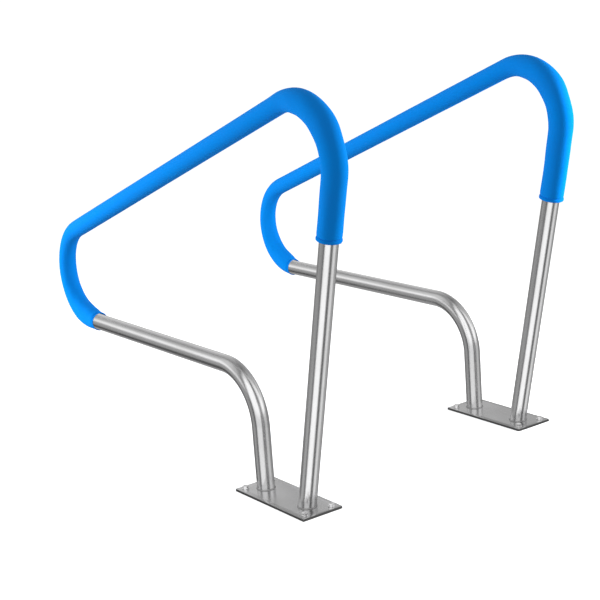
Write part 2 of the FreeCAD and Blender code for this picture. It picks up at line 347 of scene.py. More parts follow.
def knit_group() -> bpy.types.NodeTree:
    """A jersey knit's loops as height, with the furrows between them, which the cloth darkens as
    painted shade, and soft fibre noise.
    """
    inputs = {"Place": (0.0, 0.0, 0.0), "Loop": 0.9 * MM, "Slant": 1.1}
    graph, given, result = new_group("knit", inputs, ("Height", "Furrow Shade", "Patches"))
    split = graph.node("ShaderNodeSeparateXYZ")
    graph.link(given.outputs["Place"], split.inputs[0])
    turns = graph.maths("DIVIDE", FULL_TURN, given.outputs["Loop"])
    along = graph.maths("MULTIPLY", split.outputs["X"], turns)
    across = graph.maths("MULTIPLY", split.outputs["Y"], turns)
    wale = graph.maths("COSINE", across)
    lean = graph.maths("MULTIPLY", wale, given.outputs["Slant"])
    course = graph.maths("SINE", graph.maths("ADD", along, lean))
    ribs = graph.maths("MULTIPLY_ADD", course, 0.5, 0.5)
    twice = graph.maths("COSINE", graph.maths("MULTIPLY", across, 2.0))
    rows = graph.maths("MULTIPLY_ADD", twice, -0.25, 0.75)
    loops = graph.maths("MULTIPLY", ribs, rows)
    fibres = graph.noise(given.outputs["Place"], 2600.0, detail=2.0)
    height = graph.maths("MULTIPLY_ADD", fibres, 0.35, loops)
    graph.link(height, result.inputs["Height"])
    graph.link(graph.maths("SUBTRACT", 1.0, loops), result.inputs["Furrow Shade"])
    graph.link(graph.noise(given.outputs["Place"], 14.0, detail=3.0), result.inputs["Patches"])
    return graph.tree


def weave_group() -> bpy.types.NodeTree:
    """A plain tape weave as height."""
    inputs = {"Place": (0.0, 0.0, 0.0), "Thread": 0.45 * MM}
    graph, given, result = new_group("weave", inputs, ("Height", "Patches"))
    split = graph.node("ShaderNodeSeparateXYZ")
    graph.link(given.outputs["Place"], split.inputs[0])
    turns = graph.maths("DIVIDE", math.pi, given.outputs["Thread"])
    warp = graph.maths("SINE", graph.maths("MULTIPLY", split.outputs["X"], turns))
    weft = graph.maths("SINE", graph.maths("MULTIPLY", split.outputs["Y"], turns))
    checks = graph.maths("MULTIPLY", warp, weft)
    graph.link(graph.maths("ABSOLUTE", checks), result.inputs["Height"])
    graph.link(graph.noise(given.outputs["Place"], 40.0, detail=3.0), result.inputs["Patches"])
    return graph.tree


class Effects:
    """The shared node groups, each built once."""

    def __init__(self) -> None:
        """Builds every group."""
        self.polish = polish_group()
        self.knit = knit_group()
        self.weave = weave_group()

    def placed(self, graph: Graph, tree: bpy.types.NodeTree, **values: object) -> Node:
        """Puts a group in a material with its own values."""
        node = graph.node("ShaderNodeGroup", node_tree=tree)
        for key, value in values.items():
            graph.feed(node.inputs[key.replace("_", " ").title()], value)
        return node


def new_material(name: str, settings: dict[str, object]) -> tuple[Material, Graph, Node]:
    """Starts a material with one Principled shader.

    Args:
        name: the material's name.
        settings: the shader's own sockets and their values.

    Returns:
        The material, a builder for its tree and the shader node.
    """
    material = bpy.data.materials.new(name)
    material.use_nodes = True
    graph = Graph(material.node_tree)
    shader = material.node_tree.nodes["Principled BSDF"]
    for key, value in settings.items():
        shader.inputs[key].default_value = value
    return material, graph, shader


def add_bump(graph: Graph, shader: Node, height: object, depth: float, strength: float) -> None:
    """Feeds a height into the shader's normal."""
    bump = graph.node("ShaderNodeBump")
    bump.inputs["Strength"].default_value = strength
    bump.inputs["Distance"].default_value = depth
    graph.feed(bump.inputs["Height"], height)
    graph.link(bump.outputs["Normal"], shader.inputs["Normal"])


class Layout(Enum):
    """Which coordinates a finish follows."""

    OBJECT = "Object"
    FLAT = "UV"


@dataclass(frozen=True)
class SteelFinish:
    """Polished stainless steel with fine lines, smudges and a few scratches."""

    name: str
    tone: float
    roughness: float
    lines: tuple[float, float, float]
    layout: Layout = Layout.OBJECT
    line_depth: float = 0.004 * MM
    smudge_scale: float = 9.0

    def material(self, effects: Effects) -> Material:
        """Builds the material."""
        material, graph, shader = new_material(self.name, {"Metallic": 1.0})
        place = graph.node("ShaderNodeTexCoord").outputs[self.layout.value]
        polish = effects.placed(
            graph, effects.polish, place=place, lines=self.lines, smudge_scale=self.smudge_scale
        )
        marks, smudges = polish.outputs["Lines"], polish.outputs["Smudges"]
        pale = (self.tone, self.tone, self.tone * 1.01, 1.0)
        dull = (self.tone * 0.9, self.tone * 0.895, self.tone * 0.89, 1.0)
        colour = graph.blend(graph.span(smudges, 0.0, 0.7), pale, dull)
        graph.link(colour, shader.inputs["Base Color"])
        rough = graph.span(marks, self.roughness * 0.86, self.roughness * 1.14)
        rough = graph.maths("ADD", rough, graph.span(smudges, 0.0, 0.05))
        rough = graph.maths("MULTIPLY_ADD", polish.outputs["Scratches"], 0.06, rough)
        graph.link(rough, shader.inputs["Roughness"])
        add_bump(graph, shader, marks, self.line_depth, 0.35)
        return material


@dataclass(frozen=True)
class ClothFinish:
    """Foam-backed jersey with knitted loops, painted shade in their furrows, a soft sheen and a
    slight change of tone.
    """

    name: str
    colour: tuple[float, float, float]
    loop: float = 0.9 * MM
    relief: float = 0.10 * MM
    sheen: float = 0.03

    def material(self, effects: Effects) -> Material:
        """Builds the material."""
        settings = {
            "Sheen Weight": self.sheen,
            "Sheen Roughness": 0.45,
            "Sheen Tint": (0.15, 0.6, 1.0, 1.0),
            "Specular IOR Level": 0.06,
        }
        material, graph, shader = new_material(self.name, settings)
        place = graph.node("ShaderNodeTexCoord").outputs["UV"]
        knit = effects.placed(graph, effects.knit, place=place, loop=self.loop)
        red, green, blue = self.colour
        full = (red, green, blue, 1.0)
        deep = (red, green * 0.8, blue * 0.86, 1.0)
        soft = (red + 0.004, green * 0.96, blue * 0.985, 1.0)
        shade = graph.blend(graph.span(knit.outputs["Patches"], 0.0, 1.0), full, soft)
        # The furrows between the knit's loops take the deeper colour: painted shade.
        furrow_shade = graph.maths("MULTIPLY", knit.outputs["Furrow Shade"], 0.3)
        graph.link(graph.blend(furrow_shade, shade, deep), shader.inputs["Base Color"])
        graph.link(graph.span(knit.outputs["Patches"], 0.62, 0.72), shader.inputs["Roughness"])
        add_bump(graph, shader, knit.outputs["Height"], self.relief, 0.5)
        return material


@dataclass(frozen=True)
class TapeFinish:
    """Woven zip tape, darkened between its threads as painted shade."""

    name: str
    colour: tuple[float, float, float]

    def material(self, effects: Effects) -> Material:
        """Builds the material."""
        material, graph, shader = new_material(self.name, {"Sheen Weight": 0.2})
        place = graph.node("ShaderNodeTexCoord").outputs["UV"]
        weave = effects.placed(graph, effects.weave, place=place)
        full = (*self.colour, 1.0)
        deep = tuple(part * 0.7 for part in self.colour) + (1.0,)
        # The low spots of the weave take the deeper colour: painted shade.
        colour = graph.blend(weave.outputs["Height"], deep, full)
        graph.link(colour, shader.inputs["Base Color"])
        graph.link(graph.span(weave.outputs["Patches"], 0.7, 0.82), shader.inputs["Roughness"])
        add_bump(graph, shader, weave.outputs["Height"], 0.12 * MM, 0.6)
        return material


@dataclass(frozen=True)
class NylonFinish:
    """Glossy moulded nylon with a little waviness."""

    name: str
    colour: tuple[float, float, float]

    def material(self, effects: Effects) -> Material:
        """Builds the material."""
        material, graph, shader = new_material(self.name, {"Specular IOR Level": 0.5})
        place = graph.node("ShaderNodeTexCoord").outputs["Object"]
        polish = effects.placed(
            graph, effects.polish, place=place, lines=(300.0, 300.0, 300.0), smudge_scale=30.0
        )
        full = (*self.colour, 1.0)
        deep = tuple(part * 0.86 for part in self.colour) + (1.0,)
        smudges = polish.outputs["Smudges"]
        graph.link(graph.blend(smudges, full, deep), shader.inputs["Base Color"])
        graph.link(graph.span(smudges, 0.28, 0.4), shader.inputs["Roughness"])
        add_bump(graph, shader, polish.outputs["Lines"], 0.01 * MM, 0.3)
        return material


@dataclass(frozen=True)
class Finishes:
    """Every finish of the pair."""

    rail: SteelFinish = SteelFinish("satin_tube", 0.76, 0.2, (9.0, 2400.0, 1.0), Layout.FLAT)
    plate: SteelFinish = SteelFinish("polished_plate", 0.56, 0.2, (14.0, 900.0, 14.0))
    weld: SteelFinish = SteelFinish("ground_weld", 0.4, 0.34, (700.0, 700.0, 700.0))
    # The plate's side faces: rougher sheared steel, with a near-black tone that is painted shade.
    plate_edge_shade: SteelFinish = SteelFinish("sheared_edge_painted_shade", 0.15, 0.5, (300.0, 300.0, 900.0))
    fastener: SteelFinish = SteelFinish(
        "bright_fastener", 0.95, 0.3, (900.0, 900.0, 60.0), smudge_scale=60.0
    )
    zip_metal: SteelFinish = SteelFinish(
        "plated_zip_metal", 0.62, 0.28, (500.0, 500.0, 500.0), smudge_scale=120.0
    )
    cover: ClothFinish = ClothFinish("azure_jersey", (0.0, 0.275, 0.9))
    cuff: ClothFinish = ClothFinish("azure_cuff", (0.0, 0.255, 0.86), loop=0.7 * MM)
    thread: TapeFinish = TapeFinish("azure_thread", (0.0, 0.2, 0.7))
    tape: TapeFinish = TapeFinish("azure_tape", (0.0, 0.17, 0.62))
    coil: NylonFinish = NylonFinish("azure_nylon", (0.0, 0.13, 0.55))


# ---- The tube's centreline ----


@dataclass(frozen=True)
class Stretch:
    """A straight run or an arc of the centreline, in (reach, height)."""

    start: float
    length: float
    point: Vector
    heading: Vector
    centre: Vector | None = None
    turn: float = 0.0

    def at(self, distance: float) -> tuple[Vector, Vector]:
        """The point and the heading at a distance along this stretch."""
        if self.centre is None:
            return self.point + self.heading * distance, self.heading
        turn = Matrix.Rotation(self.turn * distance / self.length, 2)
        return self.centre + turn @ (self.point - self.centre), turn @ self.heading


@dataclass(frozen=True)
class Place:
    """A place on the centreline, in space."""

    point: Vector
    along: Vector
    outward: Vector


@dataclass
class Centreline:
    """The bent tube's centreline, from the tall leg's foot to the short leg's foot."""

    offset: Vector
    plate_top: float
    overall_height: float = 0.942
    overall_reach: float = 1.021
    tube_radius: float = 0.0212
    bend_radius: float = 0.130
    tall_lean: float = math.radians(13.5)
    tall_foot_reach: float = -0.076
    short_leg_reach: float = 0.087
    lower_arm_height: float = 0.286
    stretches: list[Stretch] = field(default_factory=list)

    def __post_init__(self) -> None:
        """Lays the seven stretches end to end."""
        radius, lean = self.bend_radius, self.tall_lean
        up = Vector((-math.sin(lean), math.cos(lean)))
        foot = Vector((self.tall_foot_reach, self.plate_top))
        top_height = self.overall_height - self.tube_radius - radius
        leg_length = (top_height - foot.y - radius * math.sin(lean)) / math.cos(lean)
        top_centre = foot + up * leg_length + Vector((up.y, -up.x)) * radius
        far_reach = self.overall_reach - self.tube_radius - radius
        far_centre = Vector((far_reach, self.lower_arm_height + radius))
        across, down = far_centre.x - top_centre.x, top_centre.y - far_centre.y
        slope = math.atan2(down, across)
        self.stretches.append(Stretch(0.0, leg_length, foot, up))
        self.bend(-(math.pi / 2 + lean + slope))
        self.run(math.hypot(across, down))
        self.bend(-(math.pi - slope))
        self.run(far_reach - self.short_leg_reach - radius)
        self.bend(math.pi / 2)
        self.run(self.lower_arm_height - radius - self.plate_top)

    def run(self, length: float) -> None:
        """Adds a straight stretch."""
        last = self.stretches[-1]
        point, heading = last.at(last.length)
        self.stretches.append(Stretch(last.start + last.length, length, point, heading))

    def bend(self, turn: float) -> None:
        """Adds an arc. A positive turn is to the left of the way along."""
        last = self.stretches[-1]
        point, heading = last.at(last.length)
        side = math.copysign(self.bend_radius, turn)
        centre = point + Vector((-heading.y, heading.x)) * side
        length = self.bend_radius * abs(turn)
        start = last.start + last.length
        self.stretches.append(Stretch(start, length, point, heading, centre, turn))

    @property
    def length(self) -> float:
        """The whole centreline's length."""
        return self.stretches[-1].start + self.stretches[-1].length

    def at(self, distance: float) -> Place:
        """The place at a distance along, run on straight past either foot."""
        stretch = self.stretches[0]
        for later in self.stretches:
            if later.start <= distance:
                stretch = later
        point, heading = stretch.at(distance - stretch.start)
        return Place(
            self.offset + Vector((-point.x, 0, point.y)),
            Vector((-heading.x, 0, heading.y)),
            Vector((heading.y, 0, heading.x)),
        )

    def stations(self, start: float, end: float, arc_step: float, run_step: float) -> list[float]:
        """Distances to cut a strip at, closer together round the bends.

        Args:
            start: where the strip starts.
            end: where it ends.
            arc_step: the longest step round a bend.
            run_step: the longest step on a straight run.

        Returns:
            The distances, both ends included.
        """
        marks = [start, *(s.start for s in self.stretches if start < s.start < end), end]
        result = [start]
        for low, high in zip(marks, marks[1:]):
            middle = (low + high) / 2
            around = (s for s in self.stretches if s.start <= middle < s.start + s.length)
            curved = any(s.centre for s in around)
            count = max(1, math.ceil((high - low) / (arc_step if curved else run_step)))
            result += [low + (high - low) * step / count for step in range(1, count + 1)]
        return result


def flat_strip(name: str, stations: Sequence[float], widths: Sequence[float]) -> Piece:
    """A flat strip cut at stations along X and at widths across Y.

    Args:
        name: the piece's name.
        stations: the cuts along X, in rising order.
        widths: the cuts across Y, in rising order.

    Returns:
        The strip, which faces +Z.
    """
    strip = added(
        name,
        bpy.ops.mesh.primitive_grid_add,
        x_subdivisions=len(stations) - 1,
        y_subdivisions=len(widths) - 1,
        size=1.0,
    )
    for vertex in strip.data.vertices:
        column = round((vertex.co.x + 0.5) * (len(stations) - 1))
        row = round((vertex.co.y + 0.5) * (len(widths) - 1))
        vertex.co = (stations[column], widths[row], 0.0)
    return strip


def keep_flat_layout(piece: Piece) -> None:
    """Writes a piece's X and Y, in metres, as its UV map."""
    mesh = piece.data
    layer = mesh.uv_layers[0] if mesh.uv_layers else mesh.uv_layers.new(name="UVMap")
    for loop, spot in zip(mesh.loops, layer.data):
        x, y, _ = mesh.vertices[loop.vertex_index].co
        spot.uv = (x, y)


def even(low: float, high: float, count: int) -> list[float]:
    """Numbers from low to high in equal steps."""
    return [low + (high - low) * step / count for step in range(count + 1)]


# ---- The steelwork of one rail ----


@dataclass
class SteelWork:
    """The bent tube, with the base plate and the two welds at its feet."""

    rail: str
    line: Centreline
    plate_size: tuple[float, float]
    spacing: tuple[float, float]
    corner_radius: float = 0.002
    hole_radius: float = 0.0045
    wall: float = 0.002
    sides: int = 96
    arc_step: float = 0.0048
    run_step: float = 0.060
    run_on: float = 0.030
    ripple_count: int = 46
    bead_radius: float = 0.0023
    bead_proud: float = -0.0007

    def tube(self) -> Piece:
        """Rolls the tube's wall from a flat strip, trims both feet on the plate and thickens it."""
        line = self.line
        end = line.length + self.run_on
        stations = line.stations(-self.run_on, end, self.arc_step, self.run_step)
        radius = line.tube_radius
        strip = flat_strip(f"{self.rail}_tube", stations, even(0.0, FULL_TURN * radius, self.sides))
        keep_flat_layout(strip)
        places = {round(s, 6): line.at(s) for s in stations}
        nearest = {
            v.index: min(stations, key=lambda s, x=v.co.x: abs(s - x)) for v in strip.data.vertices
        }
        for vertex in strip.data.vertices:
            place = places[round(nearest[vertex.index], 6)]
            angle = vertex.co.y / radius
            arm = Vector((0, math.cos(angle), 0)) + place.outward * math.sin(angle)
            vertex.co = place.point + arm * radius
        merge(strip)
        level = self.line.offset + Vector((0, 0, line.plate_top))
        edit(
            strip,
            lambda: bpy.ops.mesh.bisect(
                plane_co=level, plane_no=(0, 0, 1), clear_inner=True, use_fill=False
            ),
        )
        merge(strip)
        apply_modifier(strip, "SOLIDIFY", thickness=self.wall, offset=-1.0, use_even_offset=True)
        smooth(strip)
        return strip

    def weld(self, name: str, distance: float) -> Piece:
        """A rippled bead round one foot, cut flat on the plate."""
        place = self.line.at(distance)
        lean = place.along.x / place.along.z
        upright = abs(place.along.z)
        ring = self.line.tube_radius + self.bead_proud
        bead = added(
            name,
            bpy.ops.mesh.primitive_torus_add,
            major_radius=ring,
            minor_radius=self.bead_radius,
            major_segments=276,
            minor_segments=14,
        )
        for vertex in bead.data.vertices:
            x, y, z = vertex.co
            around = math.atan2(y, x)
            reach = math.hypot(x, y)
            ripple = 1 + 0.10 * abs(math.sin(around * self.ripple_count / 2)) - 0.05
            reach = ring + (reach - ring) * ripple
            x, y, z = reach * math.cos(around), reach * math.sin(around), z * ripple
            vertex.co = place.point + Vector((x / upright + z * lean, y, z))
        edit(
            bead,
            lambda: bpy.ops.mesh.bisect(
                plane_co=place.point, plane_no=(0, 0, 1), clear_inner=True, use_fill=True
            ),
        )
        merge(bead)
        smooth(bead, 50)
        return bead

    def plate(self) -> Piece:
        """The base plate with rounded corners, eased rims and four holes."""
        length, width = self.plate_size
        thickness = self.line.plate_top
        plate = added(f"{self.rail}_plate", bpy.ops.mesh.primitive_cube_add, size=1.0)
        plate.data.transform(Matrix.Diagonal((length, width, thickness, 1.0)))
        plate.data.transform(Matrix.Translation(self.line.offset + Vector((0, 0, thickness / 2))))
        select_only(plate)
        bpy.ops.object.mode_set(mode="EDIT")
        pick(plate, "EDGE", lambda edge: is_upright(plate, edge))
        bpy.ops.mesh.bevel(offset=self.corner_radius, segments=5)
        bpy.ops.object.mode_set(mode="OBJECT")
        apply_modifier(plate, "BEVEL", width=0.5 * MM, segments=2, limit_method="ANGLE")
        half_x, half_y = self.spacing[0] / 2, self.spacing[1] / 2
        for x, y in ((x, y) for x in (-half_x, half_x) for y in (-half_y, half_y)):
            bpy.ops.mesh.primitive_cylinder_add(
                vertices=40,
                radius=self.hole_radius,
                depth=3 * thickness,
                location=self.line.offset + Vector((x, y, thickness / 2)),
            )
            cutter = bpy.context.active_object
            apply_modifier(plate, "BOOLEAN", operation="DIFFERENCE", object=cutter)
            bpy.data.objects.remove(cutter)
        smooth(plate, 30)
        return plate

    def build(
        self, finishes: dict[Slot, Material], edge_shade_finish: Material
    ) -> None:
        """Builds the tube, the plate and the welds; the plate's side faces get painted shade."""
        body = Body.ROOT.value
        dress(self.tube(), finishes[Slot.RAIL], Slot.RAIL, body, f"{self.rail}_rail_tube")
        feet = (("tall_leg", 0.0), ("short_leg", self.line.length))
        for leg, distance in feet:
            bead = self.weld(f"{self.rail}_{leg}_bead", distance)
            dress(bead, finishes[Slot.WELD], Slot.WELD, body, f"{self.rail}_{leg}_weld")
        plate = self.plate()
        dress(plate, finishes[Slot.PLATE], Slot.PLATE, body, f"{self.rail}_base_plate")
        # Faces that do not face up or down take the near-black steel: painted shade on the plate's
        # sides.
        plate.data.materials.append(edge_shade_finish)
        for face in plate.data.polygons:
            face.material_index = 1 if abs(face.normal.z) < 0.5 else 0


def refinish(node: str, material: Material) -> None:
    """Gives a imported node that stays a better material."""
    piece = frame["nodes"][node]
    piece.data.materials.clear()
    piece.data.materials.append(material)
    log.info("%s: keeps its packed shape", node)


# ---- The fasteners of one plate ----


@dataclass
class Fixings:
    """Hex-headed lag screws on flat washers."""

    rail: str
    offset: Vector
    seat: float
    spacing: tuple[float, float]
    shank_radius: float = 0.004
    root_radius: float = 0.0029
    length: float = 0.060
    plain: float = 0.014
    tip: float = 0.008
    pitch: float = 0.0034
    across_flats: float = 0.013
    head_height: float = 0.0054
    crown_bevel: float = 0.9 * MM
    crown_insets: tuple[float, float] = (0.7 * MM, 0.5 * MM)
    crown_dish: float = 0.35 * MM
    corner_bevel: float = 0.35 * MM
    washer_radius: float = 0.0085
    washer_thickness: float = 0.0016
    washer_bore: float = 0.0042

    def head(self) -> Piece:
        """The hex head, its corners eased and its crown slightly dished."""
        corner = self.across_flats / 2 / math.cos(math.pi / 6)
        head = added(
            "screw_head",
            bpy.ops.mesh.primitive_cylinder_add,
            vertices=6,
            radius=corner,
            depth=self.head_height,
            location=(0, 0, self.seat + self.head_height / 2),
        )
        top = self.seat + self.head_height

        edit(
            head,
            lambda: pick(head, "EDGE", lambda edge: edge_middle(head, edge).z > top - TINY),
            lambda: bpy.ops.mesh.bevel(offset=self.crown_bevel, segments=3, profile=0.6),
            lambda: pick(head, "FACE", lambda face: face.center.z > top - TINY),
            lambda: bpy.ops.mesh.inset(thickness=self.crown_insets[0]),
            lambda: bpy.ops.mesh.inset(thickness=self.crown_insets[1]),
            lambda: bpy.ops.transform.translate(value=(0, 0, -self.crown_dish)),
            lambda: pick(head, "EDGE", lambda edge: is_upright(head, edge)),
            lambda: bpy.ops.mesh.bevel(offset=self.corner_bevel, segments=2),
        )
        return head

    def shank(self) -> Piece:
        """The plain shank, the thinner core under it and the point."""
        shank = added(
            "screw_shank",
            bpy.ops.mesh.primitive_circle_add,
            vertices=32,
            radius=self.shank_radius,
            fill_type="NGON",
            location=(0, 0, self.seat),
        )
        shrink = self.root_radius / self.shank_radius
        core = self.length - self.plain - self.tip
        neck = self.shank_radius - self.root_radius

        def extrude(drop: float, scale: float = 1.0) -> None:
            """Extrudes the lowest ring down and scales it."""
            bpy.ops.mesh.extrude_region_move(TRANSFORM_OT_translate={"value": (0, 0, -drop)})
            if scale != 1.0:
                bpy.ops.transform.resize(value=(scale, scale, 1.0))

        edit(
            shank,
            lambda: extrude(self.plain - neck),
            lambda: extrude(neck, shrink),
            lambda: extrude(core),
            lambda: extrude(self.tip * 0.9, 0.2),
            lambda: extrude(self.tip * 0.1, 0.1),
        )
        merge(shank)
        return shank

    def thread(self) -> Piece:
        """A ridge that winds up the core, its root sunk into it."""
        turns = int((self.length - self.plain - self.tip) / self.pitch) - 1
        low = self.seat - self.length + self.tip + self.pitch / 2
        ridge = added(
            "screw_thread",
            bpy.ops.mesh.primitive_circle_add,
            vertices=4,
            radius=1.0,
            fill_type="NOTHING",
        )
        crest = (self.shank_radius, 0.12 * MM)
        root = (self.root_radius - 0.2 * MM, 0.95 * MM)
        outline = (crest, root, (root[0], -root[1]), (crest[0], -crest[1]))
        for vertex, (reach, rise) in zip(ridge.data.vertices, outline):
            vertex.co = (reach, 0, low + rise)
        apply_modifier(
            ridge,
            "SCREW",
            axis="Z",
            angle=FULL_TURN,
            screw_offset=self.pitch,
            iterations=turns,
            steps=24,
            render_steps=24,
            use_merge_vertices=True,
        )
        edit(ridge, lambda: bpy.ops.mesh.fill_holes(sides=4))
        merge(ridge, 1e-6)
        return ridge

    def washer(self) -> Piece:
        """A flat washer with eased edges."""
        washer = added(
            "washer",
            bpy.ops.mesh.primitive_circle_add,
            vertices=56,
            radius=self.washer_radius,
            fill_type="NOTHING",
            location=(0, 0, self.seat - self.washer_thickness),
        )
        inward = self.washer_bore / self.washer_radius
        edit(
            washer,
            lambda: bpy.ops.mesh.extrude_region_move(),
            lambda: bpy.ops.transform.resize(value=(inward, inward, 1.0)),
        )
        apply_modifier(washer, "SOLIDIFY", thickness=self.washer_thickness, offset=1.0)
        merge(washer)
        lowest = min(v.co.z for v in washer.data.vertices)
        shift = self.seat - self.washer_thickness - lowest
        washer.data.transform(Matrix.Translation((0, 0, shift)))
        apply_modifier(washer, "BEVEL", width=0.22 * MM, segments=2, limit_method="ANGLE")
        smooth(washer)
        return washer

    def build(self, finishes: dict[Slot, Material]) -> None:
        """Copies the screw and the washer to the plate's four holes."""
        screw = join("screw", [self.head(), self.shank(), self.thread()])
        smooth(screw, 35)
        washer = self.washer()
        half_x, half_y = self.spacing[0] / 2, self.spacing[1] / 2
        corners = [(x, y) for x in (-half_x, half_x) for y in (-half_y, half_y)]
        turns = random.Random(7)
        for number, (x, y) in enumerate(corners, 1):
            place = self.offset + Vector((x, y, 0))
            spin = Matrix.Rotation(turns.uniform(0, math.pi / 3), 4, "Z")
            for kind, model in (("screw", screw), ("washer", washer)):
                twin = copied(model, f"{self.rail}_deck_{kind}_{number}")
                if kind == "screw":
                    twin.data.transform(spin)
                twin.data.transform(Matrix.Translation(place))
                node = f"{self.rail}_deck_screws" if kind == "screw" else f"{self.rail}_washers"
                dress(twin, finishes[Slot.FASTENER], Slot.FASTENER, Body.ROOT.value, node)
        for model in (screw, washer):
            bpy.data.objects.remove(model)


# ---- The grip cover of one rail ----


@dataclass(frozen=True)
class Girth:
    """How far the cover stands from the centreline at one distance along."""

    distance: float
    outside: float
    inside: float


def near_girths() -> list[Girth]:
    """The near cover: loose on the leg and the top bend, snug, then bridging the far bend."""
    return [
        Girth(648, 27.9, 27.4),
        Girth(700, 28.2, 27.2),
        Girth(760, 29.2, 27.4),
        Girth(812, 31.4, 26.8),
        Girth(855, 31.6, 26.6),
        Girth(892, 35.0, 26.8),
        Girth(925, 33.8, 27.0),
        Girth(960, 31.6, 27.0),
        Girth(995, 28.8, 26.4),
        Girth(1034, 25.2, 23.4),
        Girth(1080, 23.2, 22.9),
        Girth(1500, 22.9, 22.9),
        Girth(2060, 23.4, 23.4),
        Girth(2210, 22.9, 23.0),
        Girth(2300, 24.0, 24.2),
        Girth(2350, 24.0, 27.0),
        Girth(2392, 23.8, 31.6),
        Girth(2436, 23.5, 35.6),
        Girth(2474, 23.3, 34.2),
        Girth(2498, 23.2, 28.6),
        Girth(2518, 23.0, 25.0),
    ]


def far_girths() -> list[Girth]:
    """The far cover, which sits a little nearer the foot and is slacker throughout."""
    return [
        Girth(611, 30.6, 28.4),
        Girth(680, 30.2, 27.6),
        Girth(760, 28.4, 30.8),
        Girth(812, 27.8, 33.4),
        Girth(855, 26.6, 34.4),
        Girth(892, 29.4, 34.4),
        Girth(925, 28.6, 33.8),
        Girth(960, 26.4, 32.8),
        Girth(995, 24.6, 31.0),
        Girth(1034, 23.4, 27.4),
        Girth(1080, 23.4, 24.4),
        Girth(1500, 23.7, 23.7),
        Girth(2160, 23.6, 23.3),
        Girth(2220, 24.8, 23.0),
        Girth(2290, 26.2, 24.2),
        Girth(2345, 26.0, 27.4),
        Girth(2388, 25.4, 31.4),
        Girth(2426, 24.6, 34.4),
        Girth(2450, 24.2, 32.6),
        Girth(2466, 23.8, 28.4),
        Girth(2481, 23.4, 25.2),
    ]


def curve_through(before: float, first: float, last: float, after: float, share: float) -> float:
    """A smooth value between two of four evenly spaced ones."""
    slope = (last - before) / 2
    next_slope = (after - first) / 2
    square, cube = share**2, share**3
    return (
        first * (2 * cube - 3 * square + 1)
        + slope * (cube - 2 * square + share)
        + last * (3 * square - 2 * cube)
        + next_slope * (cube - square)
    )


